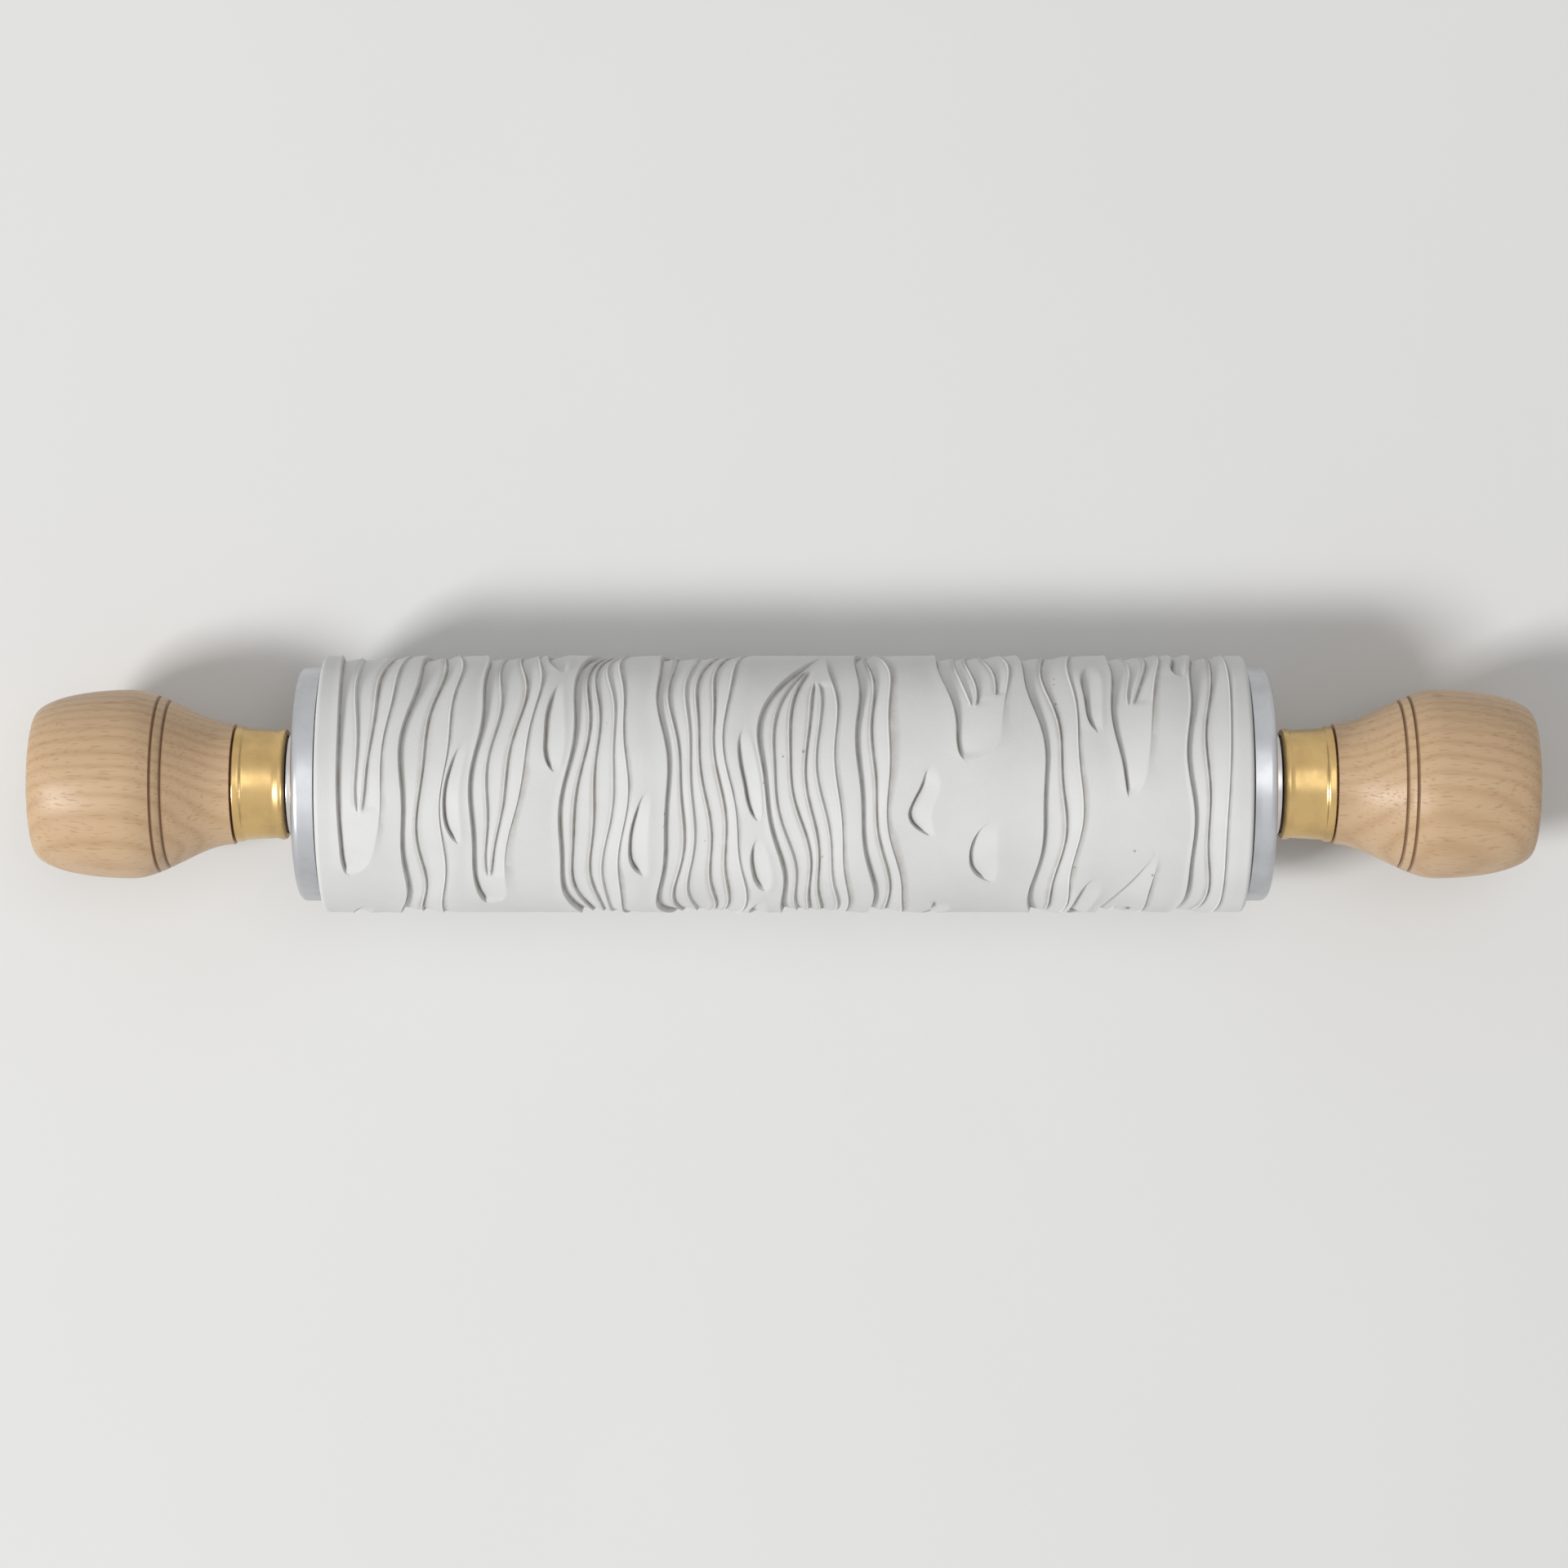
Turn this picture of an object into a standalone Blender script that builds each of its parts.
# A clay texture roller: a relief sleeve on a wooden core that turns on two ball bearings,
# carried by a steel axle with a turned palm knob at each end.
# Metres, +Z up. X runs along the axle, and the origin is the middle of the barrel.

from math import cos, pi, sin, sqrt

import bmesh
import bpy
from mathutils import Matrix, Vector

# Clearance between pieces that touch, and between pieces that turn past each other.
FIT_GAP = 0.0003
RUNNING_GAP = 0.0008
CUTTER_OVERRUN = 0.0010

# Barrel: the sleeve is as long as its imprint is wide, and its walls add up, from the bearing's
# size outwards, to the radius whose one turn is the imprint's repeat.
SLEEVE_LENGTH = 0.160
SLEEVE_BACKING = 0.0023
SLEEVE_CHAMFER = 0.0006
SLEEVE_LAND = 0.0014
SLEEVE_ROWS = 44

# Bark relief: gouged plates, with sharp ridges left standing between their flutes.
RELIEF_DEPTH = 0.0010
WALL_RUN = 0.0004
TIP_RUN = 0.0040
NOSE_RUN = 0.0050
SHOULDER_RUN = 0.0240
TAIL_RUN = 0.0260
LEAST_HALF_WIDTH = 0.0005

# The whole bark leans sideways in three waves: how far, how many to a turn, and how much later a wave
# comes at the far end, as a share of its length. It stands straight at the margins.
SWAY_LONG = 0.0016
SWAY_SHORT = 0.0008
SWAY_QUICK = 0.00035
LONG_WAVES = 1
SHORT_WAVES = 3
QUICK_SWAY_WAVES = 7
LONG_LAG_SHARE = 1.1
SHORT_LAG_SHARE = -2.3
QUICK_SWAY_LAG_SHARE = 8.0
SWAY_FADE_SHARE = 3.5

# Key that stops the sleeve slipping round the core.
KEY_WIDTH = 0.0030
KEY_LENGTH = 0.0240
KEY_IN_CORE = 0.0020
KEY_IN_SLEEVE = 0.0012
KEY_SETBACK = 0.0200

# Bearings: a common 8 x 22 x 7 mm deep groove size.
BEARING_BORE_RADIUS = 0.0040
BEARING_OUTER_RADIUS = 0.0110
BEARING_WIDTH = 0.0070
BALL_COUNT = 7
BALL_CLEARANCE = 0.0002
# A ball's radius as a share of the bearing's width or of the space between its bore and its outside,
# whichever is less.
BALL_SIZE_SHARE = 0.2834
# Shares of the width, and then of that space.
SEAL_THICKNESS_SHARE = 0.057
SEAL_INSET_SHARE = 0.043
CAGE_PRONG_SHARE = 0.17
RING_WALL_SHARE = 0.27
CAGE_WALL_SHARE = 0.25
# Where the balls' groove turns its corner, as shares of its half width and of its depth.
GROOVE_CORNER_SHARES = (0.75, 0.82)

# Cup that seats a bearing in the core's end.
CUP_WALL = 0.0012
CUP_FLOOR = 0.0015

# Axle: a thick middle between the bearings, a journal in each, and a threaded stud in each knob.
AXLE_SHOULDER = 0.0011
STUD_STEP = 0.0009
STUD_CHAMFER = 0.0005

# End caps, and the countersunk screws that hold them to the core.
CAP_THICKNESS = 0.0040
CAP_INSET = 0.0021
CAP_CHAMFER = 0.0008
SCREW_COUNT = 3
SCREW_SHANK_RADIUS = 0.0012
SCREW_HEAD_LIP = 0.0013
SCREW_HEAD_DEPTH = 0.0014
SCREW_RIM_SHARE = 0.25
SCREW_BITE = 0.0077
SCREW_WOOD = 0.00095
SCREW_SOCKET_RADIUS = 0.0011
SCREW_SOCKET_DEPTH = 0.0009

# Flanged spacer between bearing and knob. Its flange covers the bearing's seal, to keep clay off it.
SPACER_WALL = 0.0014
FLANGE_THICKNESS = 0.0012

# Palm knob: its tenon and shoulder, its belly, and the rim round the nut's recess.
KNOB_LENGTH = 0.0440
KNOB_SHOULDER = 0.0004
KNOB_SWELL = 0.0047
KNOB_RIM = 0.0030
KNOB_BELLY_SHARE = 0.52
KNOB_CURVE_STEPS = 6
TENON_RADIUS = 0.0082
FERRULE_LENGTH = 0.0090
FERRULE_WALL = 0.0011
FERRULE_FLARE = 0.0005

# Sleeve nut that draws the knob on to the stud.
NUT_HEAD_LIP = 0.0040
NUT_HEAD_THICKNESS = 0.0022
NUT_PROUD = 0.0006
NUT_CHAMFER = 0.0005
NUT_WALL = 0.0014
NUT_LENGTH = 0.0180
NUT_WEB = 0.0040
NUT_SOCKET_RADIUS = 0.0029
NUT_SOCKET_DEPTH = 0.0030

# Facets round each kind of turned piece.
LARGE_TURN = 32
MIDDLE_TURN = 24
SMALL_TURN = 20
SCREW_TURN = 10
HEX = 6

# The bark's columns, left to right. Each row gives the column's middle and half width as shares of
# the relief's width, its number of flutes, and its plates. A plate is its start and its length as
# shares of a turn, and how full it is, as a share of the column's half width.
BARK_COLUMN_SHARES = (
    (0.036, 0.0280, 3, ((0.667, 0.81, 1.0), (0.55, 0.10, 0.5))),
    (0.106, 0.0235, 2, ((0.975, 0.90, 1.0),)),
    (0.1455, 0.0090, 1, ((0.30, 0.13, 1.0), (0.66, 0.11, 1.0))),
    (0.192, 0.0300, 3, ((0.62, 0.92, 1.0),)),
    (0.248, 0.0120, 1, ((0.06, 0.13, 1.0), (0.21, 0.13, 1.0), (0.72, 0.08, 0.8))),
    (0.300, 0.0300, 4, ((0.03, 0.87, 1.0),)),
    (0.351, 0.0100, 1, ((0.36, 0.12, 1.0), (0.93, 0.10, 1.0))),
    (0.4125, 0.0400, 5, ((0.75, 0.965, 1.0),)),
    (0.4705, 0.0090, 1, ((0.28, 0.12, 1.0), (0.42, 0.09, 0.9), (0.535, 0.12, 1.0))),
    (0.5245, 0.0360, 5, ((0.13, 0.965, 1.0),)),
    (0.600, 0.0165, 2, ((0.04, 0.67, 1.0), (0.885, 0.12, 0.6))),
    (0.652, 0.0120, 1, ((0.33, 0.09, 0.9), (0.53, 0.09, 1.0), (0.75, 0.06, 0.8), (0.86, 0.12, 0.9))),
    (0.714, 0.0400, 4, ((0.615, 0.71, 1.0), (0.40, 0.09, 0.35))),
    (0.790, 0.0220, 2, ((0.75, 0.96, 1.0),)),
    (0.833, 0.0115, 1, ((0.17, 0.12, 1.0), (0.48, 0.13, 1.0))),
    (0.878, 0.0270, 3, ((0.44, 0.93, 1.0),)),
    (0.9245, 0.0095, 1, ((0.04, 0.16, 1.0), (0.66, 0.12, 1.0))),
    (0.962, 0.0235, 2, ((0.88, 0.81, 1.0),)),
)
# How far round the barrel the bark is set, as a share of a turn.
BARK_LEAD_SHARE = 0.354
# A ridge wanders and a plate swells in waves round the barrel, which come later from ridge to ridge
# and from column to column. The first three are shares of a flute's or of a plate's width.
WANDER_SHARE = 0.16
QUICK_WANDER_SHARE = 0.05
SWELL_SHARE = 0.12
RIDGE_WAVES = 2
QUICK_WAVES = 5
RIDGE_LAG_SHARE = 0.37
QUICK_LAG_SHARE = 3.0
COLUMN_LAG_SHARE = 5.0
# How wide a plate's nose is before it widens, as a share of the plate's width. Then how far the nose
# leans to the left and the tail to the right, as shares of half that width. Both tips of an oval lean
# to the right.
NOSE_WIDTH_SHARE = 0.5
NOSE_LEAN_SHARE = 0.55
TAIL_LEAN_SHARE = 0.7
# How much shallower a floor is at a plate's right edge, and how much of its depth an inner ridge's
# crest keeps.
FLOOR_RISE_SHARE = 0.45
CREST_SHARE = 0.42
# Where an inner ridge starts and how long it takes to rise, as shares of its plate's length, and how
# much the start differs from ridge to ridge, as a share of itself. A plate less full than the last
# share is an oval without inner ridges.
RIDGE_START_SHARE = 0.08
RIDGE_RISE_SHARE = 0.07
RIDGE_SCATTER_SHARE = 0.6
LEAST_RIDGED_SHARE = 0.7

# Bearing, seen from its own middle.
BEARING_SPACE = BEARING_OUTER_RADIUS - BEARING_BORE_RADIUS
BALL_PITCH_RADIUS = (BEARING_BORE_RADIUS + BEARING_OUTER_RADIUS) / 2
BALL_RADIUS = min(BEARING_WIDTH, BEARING_SPACE) * BALL_SIZE_SHARE
BALL_REACH = BALL_RADIUS + BALL_CLEARANCE
INNER_RING_RADIUS = BEARING_BORE_RADIUS + BEARING_SPACE * RING_WALL_SHARE
OUTER_RING_BORE_RADIUS = BEARING_OUTER_RADIUS - BEARING_SPACE * RING_WALL_SHARE
SEAL_BORE_RADIUS = INNER_RING_RADIUS + FIT_GAP
SEAL_RADIUS = OUTER_RING_BORE_RADIUS - FIT_GAP
SEAL_OUTSIDE = BEARING_WIDTH * (1 / 2 - SEAL_INSET_SHARE)
SEAL_INSIDE = SEAL_OUTSIDE - BEARING_WIDTH * SEAL_THICKNESS_SHARE
CAGE_BACK = SEAL_INSIDE - FIT_GAP
CAGE_FRONT = -BEARING_WIDTH * CAGE_PRONG_SHARE
CAGE_WALL = BEARING_SPACE * CAGE_WALL_SHARE

# Radii, from the bearing outwards.
CUP_BORE_RADIUS = BEARING_OUTER_RADIUS + FIT_GAP
CUP_RADIUS = CUP_BORE_RADIUS + CUP_WALL
CORE_SEAT_RADIUS = CUP_RADIUS + FIT_GAP
PILOT_RADIUS = SCREW_SHANK_RADIUS + FIT_GAP
SCREW_CIRCLE_RADIUS = CORE_SEAT_RADIUS + SCREW_WOOD + PILOT_RADIUS
CORE_RADIUS = SCREW_CIRCLE_RADIUS + PILOT_RADIUS + SCREW_WOOD
SLEEVE_BORE_RADIUS = CORE_RADIUS + FIT_GAP
SLEEVE_RADIUS = SLEEVE_BORE_RADIUS + KEY_IN_SLEEVE + SLEEVE_BACKING + RELIEF_DEPTH
CAP_RADIUS = SLEEVE_RADIUS - CAP_INSET

# Radii, from the bearing inwards.
JOURNAL_RADIUS = BEARING_BORE_RADIUS - FIT_GAP
AXLE_RADIUS = JOURNAL_RADIUS + AXLE_SHOULDER
CORE_BORE_RADIUS = AXLE_RADIUS + RUNNING_GAP
STUD_RADIUS = JOURNAL_RADIUS - STUD_STEP
STUD_BORE_RADIUS = STUD_RADIUS + FIT_GAP
SPACER_BORE_RADIUS = JOURNAL_RADIUS + FIT_GAP
SPACER_RADIUS = SPACER_BORE_RADIUS + SPACER_WALL
CAP_BORE_RADIUS = SPACER_RADIUS + RUNNING_GAP
NUT_BARREL_RADIUS = STUD_BORE_RADIUS + NUT_WALL
NUT_HEAD_RADIUS = NUT_BARREL_RADIUS + NUT_HEAD_LIP
KNOB_END_RADIUS = NUT_HEAD_RADIUS + FIT_GAP + KNOB_RIM
KNOB_BELLY_RADIUS = KNOB_END_RADIUS + KNOB_SWELL
FERRULE_BORE_RADIUS = TENON_RADIUS + FIT_GAP
FERRULE_RADIUS = FERRULE_BORE_RADIUS + FERRULE_WALL
KNOB_NECK_RADIUS = FERRULE_RADIUS + FERRULE_FLARE + KNOB_SHOULDER
SCREW_HEAD_RADIUS = SCREW_SHANK_RADIUS + SCREW_HEAD_LIP

# Places along the axle, from the middle of the barrel to the right.
SLEEVE_END = SLEEVE_LENGTH / 2
BEARING_INSIDE = SLEEVE_END - BEARING_WIDTH
BEARING_MIDDLE = SLEEVE_END - BEARING_WIDTH / 2
SHOULDER = BEARING_INSIDE - FIT_GAP
CUP_BOTTOM = BEARING_INSIDE - FIT_GAP
CUP_INSIDE = CUP_BOTTOM - CUP_FLOOR
SEAT_BOTTOM = CUP_INSIDE - FIT_GAP
CAP_INSIDE = SLEEVE_END + FIT_GAP
CAP_OUTSIDE = CAP_INSIDE + CAP_THICKNESS
SCREW_TIP = CAP_INSIDE - FIT_GAP - SCREW_BITE
FLANGE_INSIDE = CAP_OUTSIDE + RUNNING_GAP
FLANGE_OUTSIDE = FLANGE_INSIDE + FLANGE_THICKNESS
KNOB_INSIDE = FLANGE_OUTSIDE + FIT_GAP
KNOB_NECK = KNOB_INSIDE + FERRULE_LENGTH + FIT_GAP
KNOB_OUTSIDE = KNOB_INSIDE + KNOB_LENGTH
KNOB_BELLY = KNOB_NECK + (KNOB_OUTSIDE - KNOB_NECK) * KNOB_BELLY_SHARE
NUT_OUTSIDE = KNOB_OUTSIDE + NUT_PROUD
NUT_HEAD_INSIDE = NUT_OUTSIDE - NUT_HEAD_THICKNESS
NUT_INSIDE = NUT_OUTSIDE - NUT_LENGTH
NUT_THREAD_END = NUT_OUTSIDE - NUT_SOCKET_DEPTH - NUT_WEB
STUD_END = NUT_THREAD_END - FIT_GAP
KEY_MIDDLE = KEY_SETBACK + KEY_LENGTH / 2 - SLEEVE_END

# The relief lies inside a plain land at each end of the sleeve.
RELIEF_MARGIN = SLEEVE_CHAMFER + SLEEVE_LAND
RELIEF_WIDTH = SLEEVE_LENGTH - 2 * RELIEF_MARGIN
SWAY_FADE = (SWAY_LONG + SWAY_SHORT + SWAY_QUICK) * SWAY_FADE_SHARE
CIRCUMFERENCE = 2 * pi * SLEEVE_RADIUS

# The two ends: which way they face along X, and what their pieces are called.
SIDES = ((-1, "left"), (1, "right"))


def clear_scene():
    for thing in list(bpy.data.objects):
        bpy.data.objects.remove(thing)


def finish(name, colour, roughness, metallic=0.0):
    """One plain surface finish."""
    made = bpy.data.materials.new(name)
    made.use_nodes = True
    surface = made.node_tree.nodes["Principled BSDF"]
    surface.inputs["Base Color"].default_value = (*colour, 1.0)
    surface.inputs["Roughness"].default_value = roughness
    surface.inputs["Metallic"].default_value = metallic
    return made


def add_empty(name, place, parent=None):
    """An empty that pieces hang on where they turn."""
    empty = bpy.data.objects.new(name, None)
    bpy.context.scene.collection.objects.link(empty)
    empty.location = place
    empty.parent = parent
    return empty


def add_piece(name, shape, material, parent=None, place=(0, 0, 0)):
    """Makes an object of a bmesh, smooth where it is round, and hangs it on its parent."""
    bmesh.ops.recalc_face_normals(shape, faces=shape.faces)
    mesh = bpy.data.meshes.new(name)
    shape.to_mesh(mesh)
    shape.free()
    mesh.shade_smooth()
    mesh.set_sharp_from_angle(angle=pi / 5)
    if material:
        mesh.materials.append(material)
    piece = bpy.data.objects.new(name, mesh)
    bpy.context.scene.collection.objects.link(piece)
    piece.location = place
    piece.parent = parent
    return piece


def turned(outline, segments):
    """A shape turned about X from (x, radius) points. An outline that starts and ends on the axis is
    closed there by itself, and any other is closed into a ring."""
    shape = bmesh.new()
    points = [shape.verts.new((x, 0, radius)) for x, radius in outline]
    on_axis = outline[0][1] == 0 and outline[-1][1] == 0
    following = points[1:] if on_axis else points[1:] + points[:1]
    edges = [shape.edges.new(pair) for pair in zip(points, following)]
    bmesh.ops.spin(shape, geom=points + edges, cent=(0, 0, 0), axis=(1, 0, 0), angle=2 * pi, steps=segments)
    bmesh.ops.remove_doubles(shape, verts=shape.verts, dist=FIT_GAP / 100)
    return shape


def ring_outline(start, end, inner, outer):
    """A plain ring's outline."""
    return [(start, inner), (start, outer), (end, outer), (end, inner)]


def bar(start, end, radius, sides):
    """A round or many-sided bar along X, for sockets and pilot holes."""
    return turned([(start, 0), (start, radius), (end, radius), (end, 0)], sides)


def mirrored(outline, side):
    """The outline for the left end, where side is -1, or the right."""
    return [(side * x, radius) for x, radius in outline]


def around_axis(radius, x, angle):
    """A point at an angle from +Z round the X axis."""
    return Vector((x, -radius * sin(angle), radius * cos(angle)))


def even_angles(count, first_angle=0.0):
    return [first_angle + 2 * pi * i / count for i in range(count)]


def gathered(shapes):
    """One shape that holds them all."""
    whole = bmesh.new()
    for shape in shapes:
        passed = bpy.data.meshes.new("passed")
        shape.to_mesh(passed)
        shape.free()
        whole.from_mesh(passed)
        bpy.data.meshes.remove(passed)
    return whole


def moved(shape, place):
    bmesh.ops.translate(shape, verts=shape.verts, vec=place)
    return shape


def cut_away(name, shape, target):
    """Cuts a shape out of a piece with a Boolean, and keeps the shape itself out of the model."""
    tool = add_piece(name, shape, None, target.parent, target.location)
    tool.hide_render = True
    tool.display_type = "WIRE"
    cut = target.modifiers.new(name, "BOOLEAN")
    cut.operation = "DIFFERENCE"
    cut.object = tool


# The bark relief. Places run across the sleeve in metres from the relief's left edge, and round it
# in shares of a turn from +Z. A plate has its pointed tail where it starts and its narrow, round nose
# where it ends. From the nose it widens slowly on its right.


def eased(t):
    t = min(max(t, 0.0), 1.0)
    return t * t * (3 - 2 * t)


def wave(turns):
    return sin(2 * pi * turns)


def sway(across, turn):
    """How far the whole bark leans sideways at a place, nothing at the margins."""
    share = across / RELIEF_WIDTH
    lean = SWAY_LONG * wave(LONG_WAVES * turn + LONG_LAG_SHARE * share)
    lean += SWAY_SHORT * wave(SHORT_WAVES * turn + SHORT_LAG_SHARE * share)
    lean += SWAY_QUICK * wave(QUICK_SWAY_WAVES * turn + QUICK_SWAY_LAG_SHARE * share)
    return lean * eased(min(across, RELIEF_WIDTH - across) / SWAY_FADE)


def along_plate(column, turn):
    """The plate at a place round the barrel, as how far the place is past its tail, how long the
    plate is and how full, or None between plates."""
    for start, length, fullness in column[3]:
        reach = (turn - start) % 1.0
        if reach < length:
            return reach * CIRCUMFERENCE, length * CIRCUMFERENCE, fullness
    return None


def is_oval(column, fullness):
    """Whether a plate is a small half moon without inner ridges."""
    return column[2] == 1 or fullness < LEAST_RIDGED_SHARE


def tip_lean(column, turn):
    """Between plates, how far the nearest plate's tip leans, as a share of half the column's width."""
    tips = []
    for start, length, fullness in column[3]:
        nose_lean = TAIL_LEAN_SHARE if is_oval(column, fullness) else -NOSE_LEAN_SHARE
        tips.append(((turn - start - length) % 1.0, nose_lean * fullness))
        tips.append(((start - turn) % 1.0, TAIL_LEAN_SHARE * fullness))
    return min(tips)[1]


def plate_shape(column, turn):
    """The middle of a column's plate at a place and half its width, and how fully the plate is cut
    there, from 0 to 1. Between plates a flat strip of the least width runs straight on from each tip."""
    middle, half = column[0] * RELIEF_WIDTH, column[1] * RELIEF_WIDTH
    found = along_plate(column, turn)
    if found is None:
        return middle + half * tip_lean(column, turn), LEAST_HALF_WIDTH, 0.0
    reach, run, fullness = found
    left = run - reach
    tail = min(1.0, reach / min(TAIL_RUN, run / 2))
    nose = min(1.0, left / min(NOSE_RUN, run / 2))
    tail = tail * (2 - tail)
    nose = sqrt(nose * (2 - nose))
    if is_oval(column, fullness):
        tail = sqrt(tail)
        nose_lean = TAIL_LEAN_SHARE
    else:
        nose *= NOSE_WIDTH_SHARE + (1 - NOSE_WIDTH_SHARE) * eased(left / min(SHOULDER_RUN, run / 2))
        nose_lean = -NOSE_LEAN_SHARE
    lean = fullness * (TAIL_LEAN_SHARE * (1 - tail) + nose_lean * (1 - nose))
    swell = 1 + SWELL_SHARE * wave(RIDGE_WAVES * turn + COLUMN_LAG_SHARE * column[0])
    half_width = max(half * fullness * swell * nose * tail, LEAST_HALF_WIDTH)
    return middle + half * lean, half_width, eased(min(reach, left) / TIP_RUN)


def ridge_place(column, turn, ridge):
    """Where a ridge stands across its plate, from -1 at the left edge to 1 at the right."""
    middle, _, flutes = column[:3]
    even = 2 * ridge / flutes - 1
    if ridge in (0, flutes):
        return even
    lag = RIDGE_LAG_SHARE * ridge + COLUMN_LAG_SHARE * middle
    wander = WANDER_SHARE * wave(RIDGE_WAVES * turn + lag)
    wander += QUICK_WANDER_SHARE * wave(QUICK_WAVES * turn + QUICK_LAG_SHARE * lag)
    return even + wander * 2 / flutes


def ridge_height(column, turn, ridge):
    """How fully a ridge stands at a place: an inner one from 0 near the plate's tips to 1."""
    middle, _, flutes = column[:3]
    if ridge in (0, flutes):
        return 1.0
    found = along_plate(column, turn)
    if found is None or is_oval(column, found[2]):
        return 0.0
    reach, run = found[:2]
    start = RIDGE_START_SHARE * (1 + RIDGE_SCATTER_SHARE * wave(RIDGE_LAG_SHARE * ridge * ridge + middle))
    return eased((min(reach, run - reach) / run - start) / RIDGE_RISE_SHARE)


def plate_strands(column, turn):
    """The (across, depth) points of one column: each ridge, and the foot of the steep wall that drops
    on its right. From a foot the flute's floor rises gently to the next ridge. Near the plate's tips
    the ridges sink into one open floor, which rises from the plate's left edge to its right."""
    flutes = column[2]
    middle, half_width, cut = plate_shape(column, turn)
    points = []
    for ridge in range(flutes + 1):
        place = ridge_place(column, turn, ridge)
        stands = ridge_height(column, turn, ridge)
        across = middle + place * half_width
        share = (place + 1) / 2
        open_floor = RELIEF_DEPTH * cut * (1 - share)
        floor = RELIEF_DEPTH * cut * (1 - FLOOR_RISE_SHARE * share)
        crest = floor * CREST_SHARE if 0 < ridge < flutes else 0.0
        points.append((across, crest * stands + open_floor * (1 - stands)))
        if ridge < flutes:
            room = half_width * (ridge_place(column, turn, ridge + 1) - place)
            foot = across + min(WALL_RUN, room / 3)
            points.append((foot, floor * stands + open_floor * (1 - stands)))
    return points


def sleeve_row(turn):
    """Every (x, radius) point of the sleeve's outline at one place round it: the relief, then the bore."""
    bark = turn + BARK_LEAD_SHARE
    row = [(-SLEEVE_END, SLEEVE_RADIUS - SLEEVE_CHAMFER), (SLEEVE_CHAMFER - SLEEVE_END, SLEEVE_RADIUS)]
    for column in BARK_COLUMN_SHARES:
        for across, depth in plate_strands(column, bark):
            row.append((across + sway(across, bark) - RELIEF_WIDTH / 2, SLEEVE_RADIUS - depth))
    row += [(SLEEVE_END - SLEEVE_CHAMFER, SLEEVE_RADIUS), (SLEEVE_END, SLEEVE_RADIUS - SLEEVE_CHAMFER)]
    row += [(SLEEVE_END, SLEEVE_BORE_RADIUS), (-SLEEVE_END, SLEEVE_BORE_RADIUS)]
    return row


def make_sleeve(material, parent):
    """The relief sleeve, skinned between rows of points that follow the bark's own lines. The rows
    leave a flat between them at the bottom, which the barrel rests on."""
    shape = bmesh.new()
    rows = []
    for i in range(SLEEVE_ROWS):
        turn = (i + 1 / 2) / SLEEVE_ROWS
        points = [around_axis(radius, x, 2 * pi * turn) for x, radius in sleeve_row(turn)]
        rows.append([shape.verts.new(point) for point in points])
    for row, following in zip(rows, rows[1:] + rows[:1]):
        for i, corner in enumerate(row):
            j = (i + 1) % len(row)
            shape.faces.new((corner, row[j], following[j], following[i]))
    bmesh.ops.triangulate(shape, faces=shape.faces)
    sleeve = add_piece("relief_sleeve", shape, material, parent)
    keyway = key_bar(SLEEVE_END + CUTTER_OVERRUN, 0, KEY_IN_CORE, KEY_IN_SLEEVE, 2 * FIT_GAP)
    cut_away("keyway_cutter", keyway, sleeve)


def key_bar(half_length, middle, depth, reach, clearance):
    """A bar along the core at +Z, sunk to a depth into the core and reaching out into the sleeve."""
    top = SLEEVE_BORE_RADIUS + reach
    bottom = CORE_RADIUS - depth
    shape = bmesh.new()
    bmesh.ops.create_cube(shape, size=1)
    size = Vector((2 * half_length, KEY_WIDTH + clearance, top - bottom))
    bmesh.ops.scale(shape, vec=size, verts=shape.verts)
    return moved(shape, (middle, 0, (top + bottom) / 2))


def make_core(material, parent):
    """The wooden core: bored for the axle, counterbored for the cups, slotted for the key and drilled."""
    half = [
        (SLEEVE_END, CORE_RADIUS),
        (SLEEVE_END, CORE_SEAT_RADIUS),
        (SEAT_BOTTOM, CORE_SEAT_RADIUS),
        (SEAT_BOTTOM, CORE_BORE_RADIUS),
    ]
    outline = half + mirrored(half[::-1], -1)
    core = add_piece("wooden_core", turned(outline, LARGE_TURN), material, parent)
    slot = key_bar(KEY_LENGTH / 2 + FIT_GAP, KEY_MIDDLE, KEY_IN_CORE + FIT_GAP, CUTTER_OVERRUN, 2 * FIT_GAP)
    cut_away("key_slot_cutter", slot, core)
    start, end = SCREW_TIP - FIT_GAP, SLEEVE_END + CUTTER_OVERRUN
    for side, name in SIDES:
        holes = []
        for angle in even_angles(SCREW_COUNT, pi / SCREW_COUNT):
            hole = bar(side * start, side * end, PILOT_RADIUS, SCREW_TURN)
            holes.append(moved(hole, around_axis(SCREW_CIRCLE_RADIUS, 0, angle)))
        cut_away(name + "_pilot_holes", gathered(holes), core)


def make_key(material, parent):
    """The steel key, half in the core's slot and half in the sleeve's keyway."""
    key = key_bar(KEY_LENGTH / 2, KEY_MIDDLE, KEY_IN_CORE, KEY_IN_SLEEVE - FIT_GAP, 0)
    add_piece("drive_key", key, material, parent)


def make_axle(material):
    """The steel axle, thick in the middle, with a journal and a stud at each end."""
    half = [
        (SHOULDER, AXLE_RADIUS),
        (SHOULDER, JOURNAL_RADIUS),
        (FLANGE_OUTSIDE, JOURNAL_RADIUS),
        (FLANGE_OUTSIDE, STUD_RADIUS),
        (STUD_END - STUD_CHAMFER, STUD_RADIUS),
        (STUD_END, STUD_RADIUS - STUD_CHAMFER),
        (STUD_END, 0),
    ]
    return add_piece("axle", turned(mirrored(half[::-1], -1) + half, SMALL_TURN), material)


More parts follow.
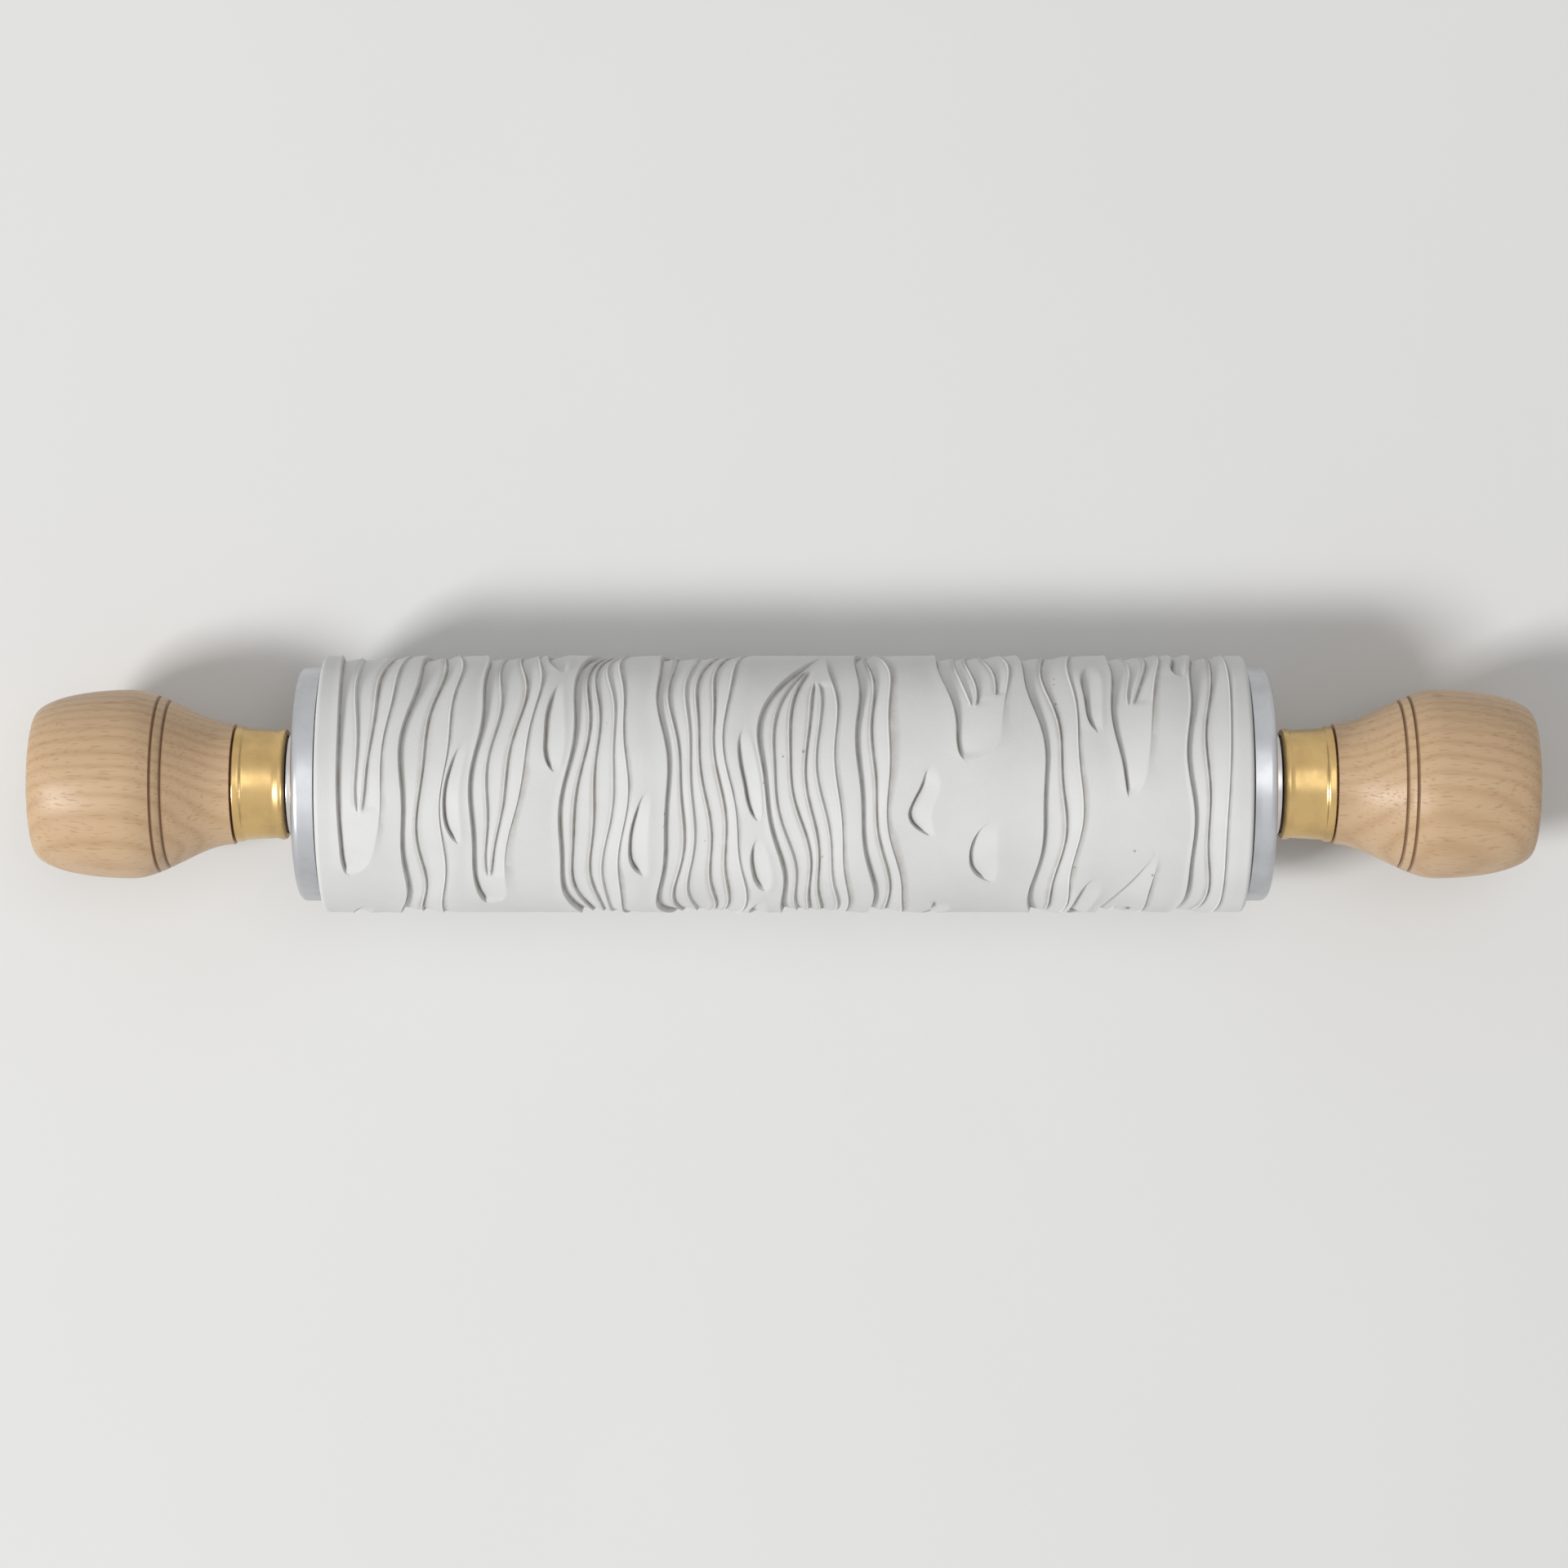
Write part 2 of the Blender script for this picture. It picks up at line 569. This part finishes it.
def make_cup(side, name, material, parent):
    """The cup that seats a bearing, open to the outside."""
    hole = INNER_RING_RADIUS + RUNNING_GAP
    outline = [
        (CUP_INSIDE, hole),
        (CUP_INSIDE, CUP_RADIUS),
        (SLEEVE_END, CUP_RADIUS),
        (SLEEVE_END, CUP_BORE_RADIUS),
        (CUP_BOTTOM, CUP_BORE_RADIUS),
        (CUP_BOTTOM, hole),
    ]
    add_piece(name + "_bearing_cup", turned(mirrored(outline, side), MIDDLE_TURN), material, parent)


def grooved_ring(face_radius, back_radius):
    """A bearing ring's outline about its own middle: a plain back, and a face with the balls' groove."""
    outwards = 1 if face_radius > BALL_PITCH_RADIUS else -1
    lip = outwards * (face_radius - BALL_PITCH_RADIUS)
    half = sqrt(BALL_REACH**2 - lip**2)
    corner = half * GROOVE_CORNER_SHARES[0]
    corner_radius = face_radius + outwards * (BALL_REACH - lip) * GROOVE_CORNER_SHARES[1]
    return [
        (-BEARING_WIDTH / 2, back_radius),
        (-BEARING_WIDTH / 2, face_radius),
        (-half, face_radius),
        (-corner, corner_radius),
        (0, BALL_PITCH_RADIUS + outwards * BALL_REACH),
        (corner, corner_radius),
        (half, face_radius),
        (BEARING_WIDTH / 2, face_radius),
        (BEARING_WIDTH / 2, back_radius),
    ]


def make_bearing(side, name, metal, rubber, plastic, axle, barrel):
    """One sealed ball bearing. Its cage and balls hang on an empty that turns about the axle."""
    middle = Vector((side * BEARING_MIDDLE, 0, 0))
    rings = (
        ("inner_ring", grooved_ring(INNER_RING_RADIUS, BEARING_BORE_RADIUS), metal, axle),
        ("outer_ring", grooved_ring(OUTER_RING_BORE_RADIUS, BEARING_OUTER_RADIUS), metal, barrel),
        ("outboard_seal", seal_outline(1), rubber, barrel),
        ("inboard_seal", seal_outline(-1), rubber, barrel),
    )
    for label, outline, material, parent in rings:
        shape = turned(mirrored(outline, side), MIDDLE_TURN)
        add_piece(f"{name}_bearing_{label}", shape, material, parent, middle)
    orbit = add_empty(name + "_ball_orbit", middle, axle)
    make_cage(side, name, plastic, orbit)
    for i, angle in enumerate(even_angles(BALL_COUNT)):
        ball = bmesh.new()
        bmesh.ops.create_icosphere(ball, subdivisions=2, radius=BALL_RADIUS)
        place = around_axis(BALL_PITCH_RADIUS, 0, angle)
        add_piece(f"{name}_bearing_ball_{i + 1}", ball, metal, orbit, place)


def seal_outline(face):
    """A seal's outline about the bearing's middle, on its outboard face, where face is 1, or its inboard."""
    return ring_outline(face * SEAL_INSIDE, face * SEAL_OUTSIDE, SEAL_BORE_RADIUS, SEAL_RADIUS)


def make_cage(side, name, material, orbit):
    """A crown cage: a ring with a round pocket for each ball, open on the inboard side."""
    inner = BALL_PITCH_RADIUS - CAGE_WALL / 2
    outer = BALL_PITCH_RADIUS + CAGE_WALL / 2
    ring = turned(mirrored(ring_outline(CAGE_FRONT, CAGE_BACK, inner, outer), side), BALL_COUNT * 4)
    cage = add_piece(name + "_bearing_cage", ring, material, orbit)
    pockets = bmesh.new()
    for angle in even_angles(BALL_COUNT):
        place = Matrix.Translation(around_axis(BALL_PITCH_RADIUS, 0, angle)) @ Matrix.Rotation(angle, 4, "X")
        bmesh.ops.create_cone(
            pockets,
            cap_ends=True,
            segments=SCREW_TURN,
            radius1=BALL_REACH,
            radius2=BALL_REACH,
            depth=CAGE_WALL + CUTTER_OVERRUN,
            matrix=place,
        )
    cut_away(name + "_cage_pockets", pockets, cage)


def screw_outline(clearance, outside):
    """A countersunk screw's outline from its tip to its head, or with a clearance its hole's."""
    head = SCREW_HEAD_RADIUS + clearance
    shank = SCREW_SHANK_RADIUS + clearance
    return [
        (SCREW_TIP - clearance, 0),
        (SCREW_TIP - clearance, shank),
        (CAP_OUTSIDE - SCREW_HEAD_DEPTH - clearance, shank),
        (CAP_OUTSIDE - SCREW_HEAD_DEPTH * SCREW_RIM_SHARE - clearance, head),
        (outside, head),
        (outside, 0),
    ]


def make_end_cap(side, name, metal, steel, barrel):
    """The disc that holds sleeve and cup on the core, and its countersunk screws."""
    outline = [
        (CAP_INSIDE, CAP_BORE_RADIUS),
        (CAP_INSIDE, CAP_RADIUS),
        (CAP_OUTSIDE - CAP_CHAMFER, CAP_RADIUS),
        (CAP_OUTSIDE, CAP_RADIUS - CAP_CHAMFER),
        (CAP_OUTSIDE, CAP_BORE_RADIUS),
    ]
    cap = add_piece(name + "_end_cap", turned(mirrored(outline, side), LARGE_TURN), metal, barrel)
    screw_shape = mirrored(screw_outline(0, CAP_OUTSIDE), side)
    hole_shape = mirrored(screw_outline(FIT_GAP, CAP_OUTSIDE + CUTTER_OVERRUN), side)
    start, end = CAP_OUTSIDE - SCREW_SOCKET_DEPTH, CAP_OUTSIDE + CUTTER_OVERRUN
    holes = []
    for i, angle in enumerate(even_angles(SCREW_COUNT, pi / SCREW_COUNT)):
        place = around_axis(SCREW_CIRCLE_RADIUS, 0, angle)
        holes.append(moved(turned(hole_shape, SCREW_TURN), place))
        label = f"{name}_cap_screw_{i + 1}"
        screw = add_piece(label, turned(screw_shape, SCREW_TURN), steel, barrel, place)
        cut_away(label + "_socket", bar(side * start, side * end, SCREW_SOCKET_RADIUS, HEX), screw)
    cut_away(name + "_cap_holes", gathered(holes), cap)


def make_spacer(side, name, material, axle):
    """The flanged spacer that passes through the end cap."""
    outline = [
        (CAP_INSIDE, SPACER_BORE_RADIUS),
        (CAP_INSIDE, SPACER_RADIUS),
        (FLANGE_INSIDE, SPACER_RADIUS),
        (FLANGE_INSIDE, SEAL_RADIUS),
        (FLANGE_OUTSIDE, SEAL_RADIUS),
        (FLANGE_OUTSIDE, SPACER_BORE_RADIUS),
    ]
    add_piece(name + "_flanged_spacer", turned(mirrored(outline, side), SMALL_TURN), material, axle)


def make_ferrule(side, name, material, axle):
    """The metal collar on the knob's tenon, rounded at its lip and a little wider towards the knob."""
    outline = [
        (KNOB_INSIDE, FERRULE_BORE_RADIUS),
        (KNOB_INSIDE, FERRULE_RADIUS - FERRULE_FLARE),
        (KNOB_INSIDE + FERRULE_FLARE, FERRULE_RADIUS),
        (KNOB_INSIDE + FERRULE_LENGTH, FERRULE_RADIUS + FERRULE_FLARE),
        (KNOB_INSIDE + FERRULE_LENGTH, FERRULE_BORE_RADIUS),
    ]
    add_piece(name + "_ferrule", turned(mirrored(outline, side), MIDDLE_TURN), material, axle)


def knob_curve():
    """The knob's side: an even swelling from its neck to its belly, and a quarter round to its end."""
    curve = []
    for i in range(KNOB_CURVE_STEPS):
        t = i / KNOB_CURVE_STEPS
        radius = KNOB_NECK_RADIUS + (KNOB_BELLY_RADIUS - KNOB_NECK_RADIUS) * eased(t)
        curve.append((KNOB_NECK + (KNOB_BELLY - KNOB_NECK) * t, radius))
    for i in range(KNOB_CURVE_STEPS + 1):
        angle = pi / 2 * i / KNOB_CURVE_STEPS
        radius = KNOB_END_RADIUS + (KNOB_BELLY_RADIUS - KNOB_END_RADIUS) * cos(angle)
        curve.append((KNOB_BELLY + (KNOB_OUTSIDE - KNOB_BELLY) * sin(angle), radius))
    return curve


def make_knob(side, name, material, axle):
    """The turned palm knob with its tenon, its stepped bore and a recess for the nut's head."""
    recess = NUT_HEAD_RADIUS + FIT_GAP
    barrel_bore = NUT_BARREL_RADIUS + FIT_GAP
    outline = [(KNOB_INSIDE, STUD_BORE_RADIUS), (KNOB_INSIDE, TENON_RADIUS), (KNOB_NECK, TENON_RADIUS)]
    outline += knob_curve()
    outline += [
        (KNOB_OUTSIDE, recess),
        (NUT_HEAD_INSIDE - FIT_GAP, recess),
        (NUT_HEAD_INSIDE - FIT_GAP, barrel_bore),
        (NUT_INSIDE - FIT_GAP, barrel_bore),
        (NUT_INSIDE - FIT_GAP, STUD_BORE_RADIUS),
    ]
    add_piece(name + "_knob", turned(mirrored(outline, side), MIDDLE_TURN), material, axle)


def make_nut(side, name, material, axle):
    """The flat-headed sleeve nut: a barrel threaded from inside, and a hex socket in its face."""
    outline = [
        (NUT_THREAD_END, 0),
        (NUT_THREAD_END, STUD_BORE_RADIUS),
        (NUT_INSIDE, STUD_BORE_RADIUS),
        (NUT_INSIDE, NUT_BARREL_RADIUS),
        (NUT_HEAD_INSIDE, NUT_BARREL_RADIUS),
        (NUT_HEAD_INSIDE, NUT_HEAD_RADIUS),
        (NUT_OUTSIDE - NUT_CHAMFER, NUT_HEAD_RADIUS),
        (NUT_OUTSIDE, NUT_HEAD_RADIUS - NUT_CHAMFER),
        (NUT_OUTSIDE, 0),
    ]
    nut = add_piece(name + "_sleeve_nut", turned(mirrored(outline, side), SMALL_TURN), material, axle)
    start, end = NUT_OUTSIDE - NUT_SOCKET_DEPTH, NUT_OUTSIDE + CUTTER_OVERRUN
    cut_away(name + "_nut_socket", bar(side * start, side * end, NUT_SOCKET_RADIUS, HEX), nut)


def main():
    clear_scene()
    cast_resin = finish("cast_resin", (0.74, 0.74, 0.73), 0.62)
    beech = finish("beech", (0.62, 0.42, 0.25), 0.50)
    stainless = finish("stainless", (0.62, 0.62, 0.63), 0.28, 1.0)
    satin_alloy = finish("satin_alloy", (0.72, 0.72, 0.73), 0.38, 1.0)
    brass = finish("brass", (0.72, 0.55, 0.28), 0.32, 1.0)
    nylon = finish("nylon", (0.30, 0.30, 0.31), 0.55)
    seal_rubber = finish("seal_rubber", (0.03, 0.03, 0.03), 0.70)
    axle = make_axle(stainless)
    barrel = add_empty("barrel", (0, 0, 0))
    make_sleeve(cast_resin, barrel)
    make_core(beech, barrel)
    make_key(stainless, barrel)
    for side, name in SIDES:
        make_cup(side, name, nylon, barrel)
        make_bearing(side, name, stainless, seal_rubber, nylon, axle, barrel)
        make_end_cap(side, name, satin_alloy, stainless, barrel)
        make_spacer(side, name, stainless, axle)
        make_ferrule(side, name, brass, axle)
        make_knob(side, name, beech, axle)
        make_nut(side, name, brass, axle)


main()
